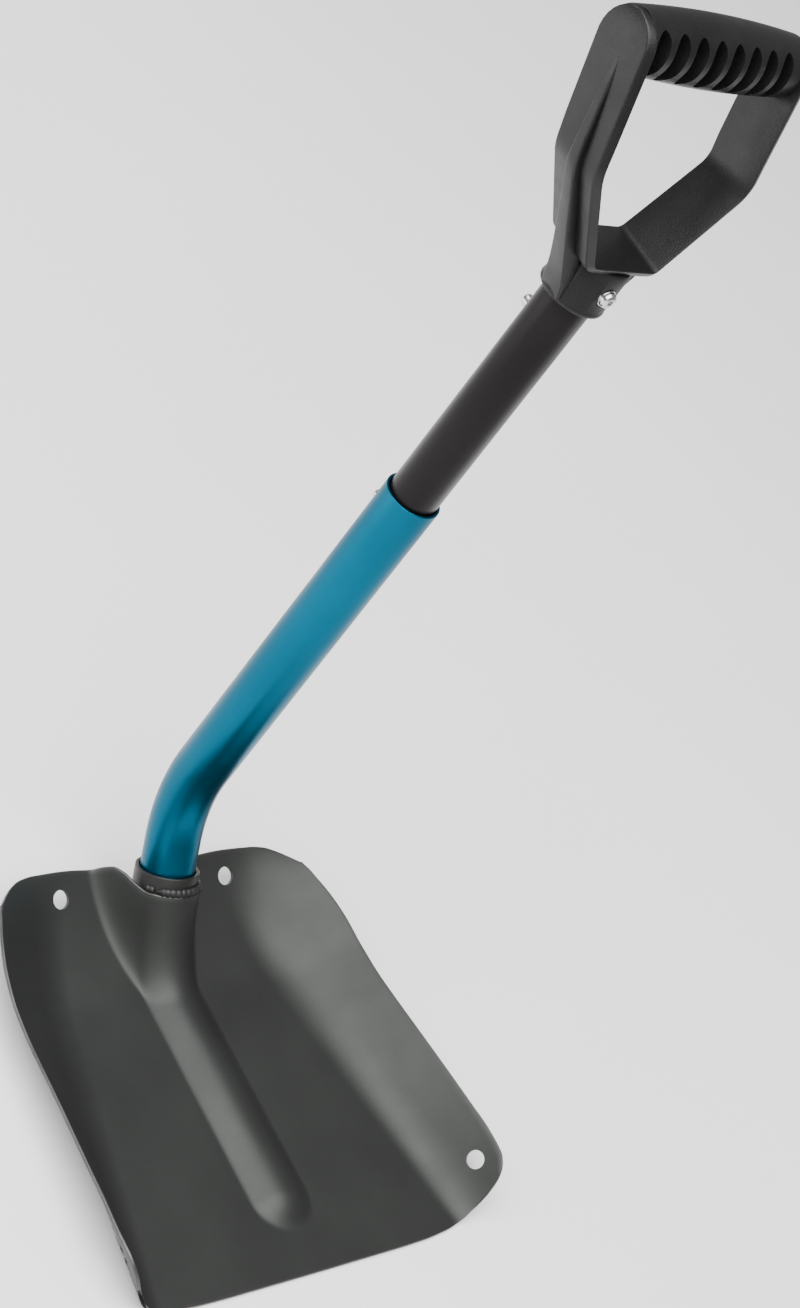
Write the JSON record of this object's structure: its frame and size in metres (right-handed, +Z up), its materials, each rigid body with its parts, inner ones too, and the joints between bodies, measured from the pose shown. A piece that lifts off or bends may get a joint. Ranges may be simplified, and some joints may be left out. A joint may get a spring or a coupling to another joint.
{
  "type": "avalanche shovel",
  "caption": "Compact snow shovel with a dished sheet blade, a bent telescoping tube shaft locked by snap buttons and a D-handle, shown with the blade turned as a hoe.",
  "frame": {"origin": "middle of the whole part's footprint on the ground, with the blade lying on its underside", "axes": "+Z up along the upper shaft, +X to the right across the blade, -Y towards the blade's front edge"},
  "size_m": [0.2766, 0.3012, 0.6377],
  "materials": {
    "blade_alloy": "dark grey-green anodised sheet, fine satin grain",
    "socket_alloy": "dark anodised tube with a bare, lighter cut rim",
    "weld": "rippled weld bead, dark",
    "blue_alloy": "teal-blue satin anodised",
    "black_alloy": "black satin anodised, slightly brown",
    "button_steel": "polished plated steel",
    "spring_steel": "bright spring strip",
    "bush_plastic": "dark plastic",
    "handle_plastic": "black moulded plastic, fine texture",
    "zinc_steel": "zinc-plated"
  },
  "bodies": {
    "blade": {"blade_shell": "blade_alloy", "socket_tube": "socket_alloy", "socket_front_weld": "weld", "socket_side_welds": "weld"},
    "lower_shaft": {"lower_shaft_tube": "blue_alloy", "socket_clip": "spring_steel"},
    "rear_lock": {"socket_button_rear": "button_steel"},
    "front_lock": {"socket_button_front": "button_steel"},
    "upper_shaft": {"upper_shaft_tube": "black_alloy", "end_bush": "bush_plastic", "extend_clip": "spring_steel", "collapse_clip": "spring_steel", "d_handle": "handle_plastic", "handle_bolt": "zinc_steel", "handle_nut": "zinc_steel", "handle_washers": "zinc_steel"},
    "extend_lock": {"extend_button": "button_steel"},
    "collapse_lock": {"collapse_button": "button_steel"}
  },
  "joints": [
    {"name": "shaft_swivel", "type": "hinge", "parent": "blade", "child": "lower_shaft", "pos_m": [0, 0.08305, 0.04086], "axis": [0, 0.515, 0.8572], "range_deg": [0, 180], "deforming": ["socket_button_rear", "socket_button_front", "socket_clip"]},
    {"name": "shaft_telescope", "type": "slide", "parent": "lower_shaft", "child": "upper_shaft", "axis": [0, 0, 1], "range_m": [-0.142, 0], "deforming": ["extend_button", "collapse_button", "extend_clip", "collapse_clip"]},
    {"name": "rear_lock_press", "type": "slide", "parent": "lower_shaft", "child": "rear_lock", "axis": [0, -0.8572, 0.515], "range_m": [0, 0.0048], "stiffness_N_per_m": 900},
    {"name": "front_lock_release", "type": "slide", "parent": "lower_shaft", "child": "front_lock", "axis": [0, -0.8572, 0.515], "range_m": [0, 0.0049], "stiffness_N_per_m": 900},
    {"name": "extend_lock_press", "type": "slide", "parent": "upper_shaft", "child": "extend_lock", "axis": [0, 1, 0], "range_m": [-0.0052, 0], "stiffness_N_per_m": 900},
    {"name": "collapse_lock_press", "type": "slide", "parent": "upper_shaft", "child": "collapse_lock", "axis": [0, -1, 0], "range_m": [0, 0.0052], "stiffness_N_per_m": 900}
  ]
}
